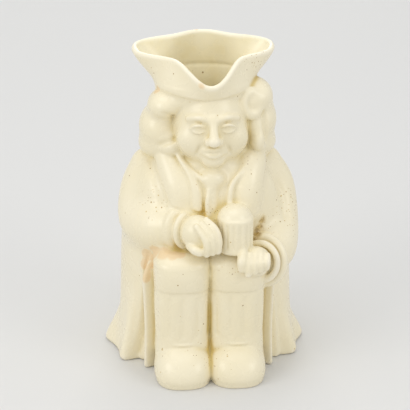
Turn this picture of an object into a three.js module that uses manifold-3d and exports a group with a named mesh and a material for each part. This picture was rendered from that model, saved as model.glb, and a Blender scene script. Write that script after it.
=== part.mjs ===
// A cream-glazed earthenware toby jug: a seated man in a long coat, a full wig and a
// three-cornered hat, with a fluted mug on his knee. The hat's brim is the jug's mouth,
// its front corner is the spout, and a loop handle springs from the back of the wig.
// The jug is one slip-cast piece, hollow from the hat down to the floor of the coat.
// Millimetres. +Z is up, the figure faces -Y, and +X is on the viewer's right.

import * as THREE from 'three';
import { mergeVertices } from 'three/addons/utils/BufferGeometryUtils.js';
import Module from 'manifold-3d';

const wasm = await Module();
wasm.setup();

// ---- driving dimensions ----

const wall = 5; // cast wall of the coat
const floorThickness = 7; // clay under the hollow
const brimThickness = 4.5; // rim of the hat

const coat = {
  squareness: 2.4, // 2 is an ellipse, more is squarer
  // height, half width, reach to the front, reach to the back
  stations: [
    [0, 67, 42, 56],
    [10, 64.6, 42, 53.5],
    [24, 62, 42, 49.5],
    [48, 60.6, 43, 46.3],
    [74, 59.8, 45.3, 45],
    [98, 58.2, 47.5, 44],
    [118, 55.5, 48, 43],
    [134, 50.5, 45.5, 40],
    [146, 43.5, 39.5, 35],
    [156, 32, 29, 28],
  ],
  // Pleats and flares of the skirts: direction and half spread in degrees, how far out,
  // and the heights where each starts to fade and has gone.
  folds: [
    { at: 3, spread: 11, out: 6, from: 0, to: 28 },
    { at: -26, spread: 5, out: 7, from: 0, to: 48 },
    { at: -45, spread: 5, out: 11.5, from: 45, to: 84 },
    { at: -35, spread: 3, out: 5, from: 10, to: 70 },
    { at: 177, spread: 11, out: 6.5, from: 0, to: 30 },
    { at: -154, spread: 5, out: 6.5, from: 0, to: 56 },
    { at: -135, spread: 5, out: 11, from: 45, to: 84 },
    { at: -145, spread: 3, out: 5, from: 10, to: 70 },
    { at: 36, spread: 8, out: 4, from: 8, to: 70 },
    { at: 60, spread: 6, out: 3.5, from: 12, to: 84 },
    { at: 82, spread: 5.5, out: 3.5, from: 30, to: 92 },
    { at: 98, spread: 5.5, out: 3.5, from: 30, to: 92 },
    { at: 120, spread: 6, out: 3.5, from: 12, to: 84 },
    { at: 145, spread: 8, out: 4, from: 8, to: 70 },
  ],
};

// The space for the drink in the head: height, half width, reach to the front and back.
const neckHollow = {
  y: -6,
  stations: [
    [140, 32, 28, 28],
    [152, 28, 28, 28],
    [176, 25, 29, 32],
    [206, 30, 31, 23],
  ],
};

const foot = { rim: 11, depth: 2 }; // the recess under the jug leaves a rim to stand on

const leg = {
  middle: -0.7,
  apart: 19.3, // each side of the middle
  y: -48.5,
  squareness: 2.3,
  // height, half width, reach to the front, reach to the back
  stations: [
    [14, 18, 18, 12],
    [27, 18.2, 18, 12],
    [29, 17.6, 17.8, 12],
    [62, 18.2, 19.2, 12],
    [67.6, 17.8, 19, 12],
    [69.2, 18.6, 20, 12],
    [78, 18.8, 20.6, 12],
  ],
  ribs: 12, // round the whole stocking, between these heights
  ribDepth: 0.7,
  ribbed: [28, 64],
  knee: { y: -46, z: 77, size: [19.2, 23.8, 19] },
};

const shoe = {
  y: -57,
  squareness: 2.5,
  columns: 18,
  stations: [
    [0, 18.6, 22.6, 16],
    [3.6, 18.9, 23, 16],
    [4.4, 19.4, 24, 16],
    [10, 19.4, 24, 16],
    [16, 18, 22, 16],
    [21, 14.6, 17.4, 15],
    [25, 8, 9, 9],
  ],
};

// Points of a sleeve are x, y, z and radius. A cuff is a ring: centre, facing, radius,
// thickness of its roll, and height over width.
const mugArm = {
  sleeve: [
    [-41, -2, 136, 13],
    [-44.5, -6, 120, 15],
    [-45, -15, 103, 15.5],
    [-35, -33, 102, 16],
    [-18.5, -48.5, 107.5, 11.5],
  ],
  cuffs: [
    { centre: [-17.5, -48, 107.5], facing: [0.62, -0.78, 0.05], radius: 10.6, roll: 3, tall: 1.12 },
    { centre: [-13.5, -52, 108], facing: [0.62, -0.78, 0.05], radius: 9, roll: 2.4, tall: 1.12 },
  ],
  palm: { centre: [-9.5, -55.5, 109], size: [11, 12.5, 12.5], turn: [0, 10, -28] },
  // knuckle, middle joint and tip of the first finger, and the step to each next one
  finger: [
    [-2.6, -61.5, 118, 2.5],
    [2.6, -67.5, 110, 2.6],
    [3.2, -68.5, 101, 2.3],
  ],
  nextFinger: [
    [-3.9, -1.4, -3.4],
    [-4.1, -0.9, -3],
    [-4.3, -0.5, -1.9],
  ],
  thumb: [
    [-15.5, -64, 103, 3],
    [-13, -69, 100, 2.8],
  ],
};

const kneeArm = {
  sleeve: [
    [42, -2, 136, 13],
    [47.5, -6, 120, 15],
    [48.5, -18, 98, 15.5],
    [45.5, -34, 87, 15.5],
    [38, -47, 84, 13.5],
  ],
  cuffs: [
    { centre: [35.5, -52.5, 83.5], facing: [-0.42, -0.88, 0.2], radius: 14, roll: 3.3, tall: 1.08 },
    { centre: [32.5, -59, 86], facing: [-0.42, -0.88, 0.2], radius: 11.2, roll: 2.4, tall: 1.05 },
  ],
  palm: { centre: [28.5, -66, 90.5], size: [10.5, 8.5, 9.5], turn: [20, 0, 10] },
  finger: [
    [25.2, -71.5, 95, 2.1],
    [24.8, -75, 89, 2.1],
    [24.2, -73, 84, 2],
  ],
  nextFinger: [
    [4.2, 0.7, -0.7],
    [4.2, 0.9, -0.9],
    [4.2, 0.9, -0.6],
  ],
  thumb: [
    [20.5, -69, 97, 3.2],
    [19, -73, 91, 3.5],
    [19.2, -73, 86, 3.1],
  ],
};

const mug = {
  x: 16.8,
  y: -56.5,
  bottom: 90,
  rim: 119,
  radius: 11.9,
  flutes: 14,
  fluteDepth: 0.6,
  fluted: [94, 114],
  lip: 0.5,
  froth: { centre: [16.4, -55.5, 117.5], size: [12.2, 12, 9.2] },
};

// Broad lapels, the waistcoat's edges inside them, and the neckcloth.
const front = {
  middle: 2.6,
  lapel: { centre: [25, -38.5, 136], size: [9.5, 5.5, 19.5], turn: [-30, 22, 20] },
  waistcoat: [
    [19.5, -37, 151, 2.6],
    [9.5, -44.5, 140, 3.2],
    [6.6, -48, 125, 2.8],
  ],
  knot: { centre: [2.8, -44.5, 142], size: [8, 6, 7.5] },
  fall: { centre: [2, -46, 129], size: [5, 5.5, 12] },
};

const face = {
  middle: 1.4,
  skull: { centre: [0, -15, 175], size: [26.5, 31, 34] },
  jaw: { centre: [0, -22, 162], size: [23.5, 25, 14.5] },
  chin: { centre: [0, -41, 154], size: [8, 6.5, 5.5] },
  nose: [
    [0, -45, 183, 2.4],
    [0, -49.5, 175.5, 3],
    [0, -51.5, 170, 4],
  ],
  // these come in pairs, one each side of the middle
  cheek: { centre: [13.5, -35.5, 167], size: [9, 7.5, 9.5] },
  eye: { centre: [9.6, -41.6, 177.4], size: [4.6, 3.4, 2.6] },
  nostril: { centre: [3.8, -48, 168.4], size: [2.8, 3, 2.4] },
  brow: [
    [4.5, -45.2, 184.8, 1.6],
    [10.5, -43.4, 185.6, 1.8],
    [16.5, -39, 181.6, 1.4],
  ],
  lips: [
    [
      [-7, -43.4, 161.2, 1.2],
      [0, -47.2, 161.8, 1.9],
      [7, -43.4, 161.2, 1.2],
    ],
    [
      [-6, -43, 160, 1.1],
      [0, -46.6, 158.6, 2.1],
      [6, -43, 160, 1.1],
    ],
  ],
};

const wig = {
  middle: 1.6,
  back: { centre: [0, 6, 172], size: [41, 30, 31] },
  nape: { centre: [0, 12, 154], size: [40, 24, 12] },
  // rolls of curls, one of each on either side: centre, half sizes and turn about x, y, z
  curls: [
    { centre: [29.5, -12, 189.5], size: [12, 18, 11.5], turn: [0, 12, 14] },
    { centre: [33, -9, 173], size: [13.8, 20, 13.5], turn: [0, 8, 10] },
    { centre: [34, -8, 158], size: [13.4, 19, 11.5], turn: [0, 0, 10] },
    { centre: [27, -26, 158], size: [8.5, 8.5, 8.5], turn: [0, 0, 0] },
    { centre: [25, -25, 188.5], size: [8, 8, 9.5], turn: [0, 0, 0] },
    { centre: [28.5, -22, 174], size: [8, 12, 11], turn: [0, 0, 0] },
  ],
};

const hat = {
  x: -1,
  y: -4,
  columns: 40,
  crown: { z: 195, side: 34.5, front: 37.5, back: 31, squareness: 2.2 },
  brim: 28, // reach of the brim between its corners
  // The three corners: direction, extra reach, and spread before and after it in degrees.
  corners: [
    { at: 167, out: 22, before: 24, after: 34 },
    { at: 13, out: 22, before: 34, after: 24 },
    { at: -87, out: 13, before: 38, after: 38 },
  ],
  rimZ: 221,
  backRise: 7, // the brim is turned up highest at the back
  spout: { at: -86, drop: 14, spread: 25 },
};

const handle = {
  // centre line in the plane through the middle of the back, as y and z
  path: [
    [24, 183],
    [46, 187],
    [65, 180],
    [75, 160],
    [75.5, 134],
    [68, 110],
    [52, 96],
    [34, 91],
  ],
  halfWidth: 7.2,
  halfDepth: 5.4,
};

// ---- shared geometry helpers ----

const radians = THREE.MathUtils.degToRad;
const degrees = THREE.MathUtils.radToDeg;

// Smallest turn from one direction to another, in degrees.
const turnBetween = (from, to) => ((((to - from) % 360) + 540) % 360) - 180;

const bell = (offset, spread) => Math.exp(-((offset / spread) ** 2));

// A closed skin over rings that run anticlockwise when seen from the last ring's end.
function skin(rings, start, end) {
  const columns = rings[0].length;
  const points = [start, ...rings.flat(), end];
  const at = (row, column) => 1 + row * columns + (column % columns);
  const faces = [];
  for (let j = 0; j < columns; j++) {
    faces.push(0, at(0, j + 1), at(0, j));
    for (let i = 0; i < rings.length - 1; i++) {
      faces.push(at(i, j), at(i, j + 1), at(i + 1, j + 1));
      faces.push(at(i, j), at(i + 1, j + 1), at(i + 1, j));
    }
    faces.push(points.length - 1, at(rings.length - 1, j), at(rings.length - 1, j + 1));
  }
  return new THREE.BufferGeometry().setFromPoints(points).setIndex(faces);
}

// A geometry as a solid that can be joined and cut.
function solid(geometry) {
  const bare = new THREE.BufferGeometry();
  bare.setAttribute('position', geometry.getAttribute('position'));
  bare.setIndex(geometry.getIndex());
  const merged = mergeVertices(bare, 1e-4);
  const index = merged.getIndex().array;
  const triangles = [];
  for (let i = 0; i < index.length; i += 3) {
    const [a, b, c] = [index[i], index[i + 1], index[i + 2]];
    if (a !== b && b !== c && c !== a) triangles.push(a, b, c);
  }
  return new wasm.Manifold(
    new wasm.Mesh({
      numProp: 3,
      vertProperties: new Float32Array(merged.getAttribute('position').array),
      triVerts: new Uint32Array(triangles),
    }),
  );
}

const join = (solids) => solids.reduce((whole, next) => whole.add(next));

// Reach of a squared oval in a direction, with its own reach at the sides, front and back.
function ovalReach(angle, side, ahead, behind, squareness) {
  const x = Math.abs(Math.cos(angle) / side) ** squareness;
  const y = Math.abs(Math.sin(angle) / (Math.sin(angle) < 0 ? ahead : behind)) ** squareness;
  return (x + y) ** (-1 / squareness);
}

// Values between stations, eased so that the slope has no jumps at them.
function between(stations, z) {
  const last = stations.length - 1;
  let i = 0;
  while (i < last - 1 && z > stations[i + 1][0]) i++;
  const gap = stations[i + 1][0] - stations[i][0];
  const share = THREE.MathUtils.clamp((z - stations[i][0]) / gap, 0, 1);
  const rest = 1 - share;
  const slope = (from, to, k) => (stations[to][k] - stations[from][k]) / (stations[to][0] - stations[from][0]);
  return stations[i].slice(1).map((value, n) => {
    const next = stations[i + 1][n + 1];
    const here = slope(Math.max(i - 1, 0), i + 1, n + 1) * gap;
    const there = slope(i, Math.min(i + 2, last), n + 1) * gap;
    const ends = value * rest * rest * (1 + 2 * share) + next * share * share * (3 - 2 * share);
    return ends + here * share * rest * rest - there * share * share * rest;
  });
}

const evenAngles = (count) => Array.from({ length: count }, (_, j) => (2 * Math.PI * j) / count);

// A loft round an upright axis: reachAt gives the radius in each direction at each height.
// Columns are a number of even steps or a rising list of angles.
function turned(x, y, heights, columns, reachAt) {
  const angles = Array.isArray(columns) ? columns : evenAngles(columns);
  const rings = heights.map((z) =>
    angles.map((angle) => {
      const reach = reachAt(angle, z);
      return new THREE.Vector3(x + reach * Math.cos(angle), y + reach * Math.sin(angle), z);
    }),
  );
  const start = new THREE.Vector3(x, y, heights[0]);
  const end = new THREE.Vector3(x, y, heights.at(-1));
  return solid(skin(rings, start, end));
}

// A loft through stations of squared ovals, with what stands out added to its reach.
function lofted(x, y, { stations, columns, squareness }, standsOut = () => 0) {
  const heights = stations.map((station) => station[0]);
  return turned(x, y, heights, columns, (angle, z) => {
    const [side, ahead, behind] = between(stations, z);
    return ovalReach(angle, side, ahead, behind, squareness) + standsOut(angle, z);
  });
}

// An egg shape: centre, half sizes, and turns about x, y and z in degrees.
function egg({ centre, size, turn = [0, 0, 0] }, around = 9, along = 6) {
  const geometry = new THREE.SphereGeometry(1, around, along);
  geometry.scale(...size);
  geometry.rotateX(radians(turn[0]));
  geometry.rotateY(radians(turn[1]));
  geometry.rotateZ(radians(turn[2]));
  geometry.translate(...centre);
  return solid(geometry);
}

// The same egg on one side of a middle plane, mirrored for the side -1.
function eggBeside(middle, side, { centre, size, turn = [0, 0, 0] }, around, along) {
  const [x, y, z] = centre;
  const place = [middle + side * x, y, z];
  return egg({ centre: place, size, turn: [turn[0], side * turn[1], side * turn[2]] }, around, along);
}

// Points of a limb, moved beside a middle plane and mirrored for the side -1.
const beside = (middle, side, stops) => stops.map(([x, ...others]) => [middle + side * x, ...others]);

// A round-ended limb through points of x, y, z and radius.
function limb(stops, steps = 3, sides = 6) {
  const line = new THREE.CatmullRomCurve3(stops.map(([x, y, z]) => new THREE.Vector3(x, y, z)));
  const girth = new THREE.CatmullRomCurve3(stops.map((stop) => new THREE.Vector3(stop[3], 0, 0)));
  const frames = line.computeFrenetFrames(steps, false);
  const shoulder = radians(50); // one ring rounds each end
  const ring = (step, radius, ahead) => {
    const centre = line.getPointAt(step / steps).addScaledVector(frames.tangents[step], ahead);
    return Array.from({ length: sides }, (_, j) => {
      const angle = (2 * Math.PI * j) / sides;
      return centre
        .clone()
        .addScaledVector(frames.normals[step], radius * Math.cos(angle))
        .addScaledVector(frames.binormals[step], radius * Math.sin(angle));
    });
  };
  const first = stops[0][3];
  const last = stops.at(-1)[3];
  const rings = Array.from({ length: steps + 1 }, (_, i) =>
    ring(i, girth.getPoint(line.getUtoTmapping(i / steps)).x, 0),
  );
  rings.unshift(ring(0, first * Math.cos(shoulder), -first * Math.sin(shoulder)));
  rings.push(ring(steps, last * Math.cos(shoulder), last * Math.sin(shoulder)));
  const start = line.getPointAt(0).addScaledVector(frames.tangents[0], -first);
  const end = line.getPointAt(1).addScaledVector(frames.tangents[steps], last);
  return solid(skin(rings, start, end));
}

// ---- the coat and the hollow ----

function foldOut(angle, z) {
  return coat.folds.reduce((out, fold) => {
    const fade = 1 - THREE.MathUtils.smoothstep(z, fold.from, fold.to);
    return out + fold.out * fade * bell(turnBetween(fold.at, degrees(angle)), fold.spread);
  }, 0);
}

// A column on the crest of each fold and on both its flanks, and a few between the legs.
function coatAngles() {
  const crests = coat.folds.flatMap(({ at, spread }) => [at - 1.3 * spread, at, at + 1.3 * spread]);
  const turns = [...crests, -110, -90, -70, 20, 160].map((turn) => (turn + 360) % 360);
  const rising = turns.sort((a, b) => a - b).filter((turn, i, all) => i === 0 || turn - all[i - 1] > 1);
  return rising.map(radians);
}

function coatReach(angle, z, inset) {
  const [side, ahead, behind] = between(coat.stations, z);
  return ovalReach(angle, side - inset, ahead - inset, behind - inset, coat.squareness);
}

// The space inside: the coat, the legs, the head, and out into the hat.
function hollow() {
  const corner = 6; // the floor runs up into the walls over this height
  const heights = [floorThickness, floorThickness + corner, 40, 74, 98, 118, 134, 146];
  const trunk = turned(0, 0, heights, 16, (angle, z) => {
    const rounding = z === floorThickness ? corner : 0;
    return coatReach(angle, Math.max(z, 20), wall + rounding);
  });
  const neck = lofted(0, neckHollow.y, { ...neckHollow, columns: 12, squareness: 2 });
  const shins = [-1, 1].map((side) => {
    const stops = [
      [leg.apart, leg.y, 20, 11.5],
      [leg.apart, leg.y + 2, 60, 13],
      [leg.apart * 0.9, leg.y + 14, 76, 14],
    ];
    return limb(beside(leg.middle, side, stops), 3, 8);
  });
  return join([trunk, neck, ...shins]);
}

// A shallow recess under the jug, so that it stands on a rim.
function footRecess() {
  return turned(0, 0, [-1, foot.depth], 24, (angle, z) => coatReach(angle, 0, foot.rim + Math.max(z, 0)));
}

// ---- legs, shoes, arms and the mug ----

function legsAndShoes() {
  const rib = (angle, z) => {
    const [low, high] = leg.ribbed;
    return z > low && z < high ? leg.ribDepth * Math.cos(leg.ribs * (angle + Math.PI / 2)) : 0;
  };
  return [-1, 1].flatMap((side) => {
    const x = leg.middle + side * leg.apart;
    const { y, z, size } = leg.knee;
    return [
      lofted(x, leg.y, { ...leg, columns: 2 * leg.ribs }, rib),
      egg({ centre: [x, y, z], size }, 12, 8),
      lofted(x, shoe.y, shoe),
    ];
  });
}

// A cuff is a ring of round section, turned to face along the wrist.
function cuff({ centre, facing, radius, roll, tall }) {
  const geometry = new THREE.TorusGeometry(radius, roll, 5, 12);
  geometry.scale(1, tall, 1);
  const along = new THREE.Vector3(...facing).normalize();
  geometry.applyQuaternion(new THREE.Quaternion().setFromUnitVectors(new THREE.Vector3(0, 0, 1), along));
  geometry.translate(...centre);
  return solid(geometry);
}

function armAndHand({ sleeve, cuffs, palm, finger, nextFinger, thumb }) {
  const fingers = [0, 1, 2, 3].map((i) =>
    limb(
      finger.map(([x, y, z, radius], joint) => {
        const [dx, dy, dz] = nextFinger[joint];
        return [x + i * dx, y + i * dy, z + i * dz, radius];
      }),
      2,
    ),
  );
  return [limb(sleeve, 5, 8), ...cuffs.map(cuff), egg(palm), ...fingers, limb(thumb, thumb.length - 1)];
}

function mugAndFroth() {
  const heights = [mug.bottom, ...mug.fluted, mug.fluted[1] + 1.5, mug.rim];
  const body = turned(mug.x, mug.y, heights, 2 * mug.flutes, (angle, z) => {
    if (z > mug.fluted[1]) return mug.radius + mug.lip;
    return mug.radius + mug.fluteDepth * Math.cos(mug.flutes * angle);
  });
  return [body, egg(mug.froth, 11, 6)];
}

// ---- coat front, head and wig ----

function coatFront() {
  const sides = [-1, 1].flatMap((side) => [
    eggBeside(front.middle, side, front.lapel),
    limb(beside(front.middle, side, front.waistcoat)),
  ]);
  return [...sides, egg(front.knot), egg(front.fall)];
}

function head() {
  const middle = [face.skull, face.jaw, face.chin].map((shape, i) =>
    eggBeside(face.middle, 1, shape, ...[[16, 10], [14, 7], [8, 6]][i]),
  );
  const pairs = [-1, 1].flatMap((side) => [
    eggBeside(face.middle, side, face.cheek),
    eggBeside(face.middle, side, face.eye, 8, 4),
    eggBeside(face.middle, side, face.nostril, 6, 4),
    limb(beside(face.middle, side, face.brow), 2),
  ]);
  const strips = [face.nose, ...face.lips].map((stops) => limb(beside(face.middle, 1, stops), 2));
  return [...middle, ...pairs, ...strips];
}

function wigCurls() {
  const sides = [-1, 1].flatMap((side) => wig.curls.map((curl) => eggBeside(wig.middle, side, curl)));
  return [eggBeside(wig.middle, 1, wig.back, 16, 9), eggBeside(wig.middle, 1, wig.nape, 14, 6), ...sides];
}

// ---- the hat, its brim and the spout ----

function brimReach(angle) {
  return hat.corners.reduce((reach, corner) => {
    const turn = turnBetween(corner.at, degrees(angle));
    return reach + corner.out * bell(turn, turn < 0 ? corner.before : corner.after);
  }, hat.brim);
}

function rimHeight(angle) {
  const rise = hat.backRise * Math.max(0, Math.sin(angle)) ** 0.9;
  return hat.rimZ + rise - hat.spout.drop * bell(turnBetween(hat.spout.at, degrees(angle)), hat.spout.spread);
}

// A ring of the hat: share runs from the crown's foot (0) to the rim (1), in plan and in
// height, inset is measured into the clay, and drop lowers the ring.
function hatRing(planShare, heightShare, inset, drop = 0) {
  const { z, side, front: ahead, back: behind, squareness } = hat.crown;
  return Array.from({ length: hat.columns }, (_, j) => {
    const angle = (2 * Math.PI * j) / hat.columns;
    const crownReach = ovalReach(angle, side, ahead, behind, squareness);
    const reach = THREE.MathUtils.lerp(crownReach, brimReach(angle), planShare) - inset;
    const height = THREE.MathUtils.lerp(z, rimHeight(angle), heightShare) - drop;
    return new THREE.Vector3(hat.x + reach * Math.cos(angle), hat.y + reach * Math.sin(angle), height);
  });
}

function hatShell() {
  const round = brimThickness / 2;
  const rings = [
    hatRing(0, 0, 3, 3),
    hatRing(0, 0, 0),
    hatRing(0.3, 0.34, 0),
    hatRing(0.66, 0.68, 0),
    hatRing(1, 1, 0, round),
    hatRing(1, 1, 0.6 * round),
    hatRing(1, 1, 1.4 * round),
    hatRing(1, 1, brimThickness, round),
    hatRing(0.5, 0.52, brimThickness),
    hatRing(0, 0, brimThickness + 1, -4),
  ];
  const start = new THREE.Vector3(hat.x, hat.y, hat.crown.z - 3);
  const end = new THREE.Vector3(hat.x, hat.y, hat.crown.z + 3);
  return solid(skin(rings, start, end));
}

// Everything that the wig and the skull would leave standing inside the hat.
function insideHat() {
  const wide = 3 * hat.brim;
  return turned(hat.x, hat.y, [hat.crown.z + 2, hat.rimZ + 20], 8, () => wide);
}

// ---- the handle at the back ----

function loopHandle() {
  const line = new THREE.CatmullRomCurve3(handle.path.map(([y, z]) => new THREE.Vector3(0, y, z)));
  const section = new THREE.Shape();
  section.absellipse(0, 0, handle.halfDepth, handle.halfWidth, 0, 2 * Math.PI);
  return solid(new THREE.ExtrudeGeometry(section, { steps: 14, curveSegments: 4, extrudePath: line }));
}

// ---- the whole jug ----

function jugSolid() {
  const figure = join([
    lofted(0, 0, { ...coat, columns: coatAngles() }, foldOut),
    ...legsAndShoes(),
    ...armAndHand(mugArm),
    ...armAndHand(kneeArm),
    ...mugAndFroth(),
    ...coatFront(),
    ...head(),
    ...wigCurls(),
  ]);
  const inside = hollow();
  const shell = figure.subtract(insideHat()).add(hatShell()).subtract(inside);
  return shell.add(loopHandle().subtract(inside)).subtract(footRecess());
}

// The solid as a mesh that stands on z = 0 with the middle of its box over the origin.
function finished(whole) {
  const mesh = whole.getMesh();
  const geometry = new THREE.BufferGeometry();
  geometry.setAttribute('position', new THREE.BufferAttribute(new Float32Array(mesh.vertProperties), 3));
  geometry.setIndex(new THREE.BufferAttribute(new Uint32Array(mesh.triVerts), 1));
  geometry.computeBoundingBox();
  const { min, max } = geometry.boundingBox;
  geometry.translate(-(min.x + max.x) / 2, -(min.y + max.y) / 2, -min.z);
  geometry.computeVertexNormals();
  return geometry;
}

const creamGlaze = new THREE.MeshStandardMaterial({ color: 0xece3c8, roughness: 0.25, metalness: 0 });

const tobyJug = new THREE.Mesh(finished(jugSolid()), creamGlaze);
tobyJug.name = 'toby_jug';

const group = new THREE.Group();
group.add(tobyJug);

export default group;
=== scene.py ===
import math

import bmesh
import bpy
import numpy as np
import openvdb
from mathutils import Euler, Matrix, Vector


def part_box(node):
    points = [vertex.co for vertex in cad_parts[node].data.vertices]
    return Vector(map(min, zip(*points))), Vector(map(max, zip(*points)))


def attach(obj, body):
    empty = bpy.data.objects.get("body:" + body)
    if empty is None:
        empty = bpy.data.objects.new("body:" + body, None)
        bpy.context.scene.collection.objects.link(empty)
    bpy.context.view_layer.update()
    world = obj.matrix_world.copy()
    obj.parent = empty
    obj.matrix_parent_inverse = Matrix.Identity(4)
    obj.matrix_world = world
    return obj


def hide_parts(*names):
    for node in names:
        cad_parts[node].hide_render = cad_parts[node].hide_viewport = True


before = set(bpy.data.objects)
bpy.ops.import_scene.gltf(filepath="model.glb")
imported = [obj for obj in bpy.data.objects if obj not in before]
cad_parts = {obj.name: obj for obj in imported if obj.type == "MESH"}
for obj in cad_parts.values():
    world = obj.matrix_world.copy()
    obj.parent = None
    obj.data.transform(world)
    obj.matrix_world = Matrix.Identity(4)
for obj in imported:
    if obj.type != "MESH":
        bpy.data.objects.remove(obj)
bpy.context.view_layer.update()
mm = 0.001

# The figure is worked in millimetres about its own upright axis, then set into the frame.
lowCorner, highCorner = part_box("toby_jug")
figure = {"toeReach": 81.2, "hemReach": 73.2}
shiftX = highCorner.x / mm - figure["hemReach"]
shiftY = lowCorner.y / mm + figure["toeReach"]

# degrees, metres and, for the lens and the sensor, millimetres
view = {
    "turn": -4.0, "tilt": 22.0, "distance": 1.15, "lens": 142.2, "sensor": 36, "nearest": 0.05,
    "lookAt": (0.0, 0.0, 0.105),
}


def makeCamera():
    turn, tilt = math.radians(view["turn"]), math.radians(view["tilt"])
    target = Vector(view["lookAt"]) + Vector((shiftX, shiftY, 0)) * mm
    away = Vector((math.sin(turn) * math.cos(tilt), -math.cos(turn) * math.cos(tilt), math.sin(tilt)))
    data = bpy.data.cameras.new("camera")
    data.lens = view["lens"]
    data.sensor_width = view["sensor"]
    data.clip_start = view["nearest"]
    camera = bpy.data.objects.new("camera", data)
    camera.location = target + away * view["distance"]
    camera.rotation_euler = (-away).to_track_quat("-Z", "Y").to_euler()
    bpy.context.scene.collection.objects.link(camera)
    bpy.context.scene.camera = camera


studio = {
    "floorColour": (0.70, 0.693, 0.672), "floorRoughness": 0.85, "floorGloss": 0.2,
    # the paper's half width, which it also comes forward, how high it rises, its bend, where that starts, its steps
    "reach": 6.0, "rise": 4.0, "bend": 1.2, "start": 2.4, "steps": 12,
    "skyColour": (0.95, 0.97, 1.0),
    "skyStrength": 0.75,
    "aim": (0, 0, 0.1),
    # name, place, size, power, colour
    "lamps": [
        ("leftSoftbox", (-1.25, -0.85, 0.95), 0.9, 6.0, (1.0, 0.985, 0.96)),
        ("rightSoftbox", (1.1, -0.95, 0.9), 0.7, 3.4, (1.0, 0.985, 0.96)),
        ("topSoftbox", (-0.15, -0.1, 1.6), 1.2, 5.6, (0.98, 0.985, 1.0)),
        ("backSoftbox", (0.1, 1.7, 1.4), 1.2, 9.0, (1.0, 0.99, 0.98)),
    ],
}


def makeStudio():
    scene = bpy.context.scene
    world = bpy.data.worlds.new("studioWorld")
    world.use_nodes = True
    sky = world.node_tree.nodes["Background"]
    sky.inputs["Color"].default_value = (*studio["skyColour"], 1)
    sky.inputs["Strength"].default_value = studio["skyStrength"]
    scene.world = world
    scene.view_settings.view_transform = "Standard"
    for name, place, size, power, colour in studio["lamps"]:
        data = bpy.data.lights.new(name, "AREA")
        data.energy, data.size, data.color = power, size, colour
        lamp = bpy.data.objects.new(name, data)
        lamp.location = place
        lamp.rotation_euler = (Vector(studio["aim"]) - Vector(place)).to_track_quat("-Z", "Y").to_euler()
        scene.collection.objects.link(lamp)
    # a sheet of pale paper that sweeps up behind the object
    reach, bend, start, steps = studio["reach"], studio["bend"], studio["start"], studio["steps"]
    sweep = [(-reach, 0.0), (start, 0.0)]
    for step in range(1, steps + 1):
        angle = math.radians(90 * step / steps)
        sweep.append((start + bend * math.sin(angle), bend * (1 - math.cos(angle))))
    sweep.append((start + bend, studio["rise"]))
    points = [(side * reach, y, z) for y, z in sweep for side in (-1, 1)]
    faces = [(2 * i, 2 * i + 1, 2 * i + 3, 2 * i + 2) for i in range(len(sweep) - 1)]
    mesh = bpy.data.meshes.new("paperSweep")
    mesh.from_pydata(points, [], faces)
    mesh.shade_smooth()
    paper = bpy.data.materials.new("paleStudioPaper")
    paper.use_nodes = True
    shader = paper.node_tree.nodes["Principled BSDF"]
    shader.inputs["Base Color"].default_value = (*studio["floorColour"], 1)
    shader.inputs["Roughness"].default_value = studio["floorRoughness"]
    shader.inputs["Specular IOR Level"].default_value = studio["floorGloss"]
    mesh.materials.append(paper)
    floor = bpy.data.objects.new("paperSweep", mesh)
    scene.collection.objects.link(floor)


def smoothLower(a, b, blend):
    # the lower of two fields, rounded where they meet
    if blend <= 0:
        return np.minimum(a, b)
    share = np.clip(0.5 + 0.5 * (b - a) / blend, 0, 1)
    return b + (a - b) * share - blend * share * (1 - share)


def bell(offset, spread):
    return np.exp(-((offset / spread) ** 2))


def easeStep(value, start, end):
    share = np.clip((value - start) / (end - start), 0, 1)
    return share * share * (3 - 2 * share)


def turnFrom(angle, at):
    # smallest turn from a direction, in degrees
    return (np.degrees(angle) - at + 540) % 360 - 180


# the block that is worked, its grain, how many facets the skin may keep, and how far drape feels along sight
block = {
    "low": (-77, -85, -3), "high": (77, 86, 233), "grain": 0.8, "quickGrain": 1.1, "mostFacets": 190000, "feel": 24,
    "far": 9.0,
}

# from the camera towards the figure
sight = Vector((0.065, 0.925, -0.374)).normalized()


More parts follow.
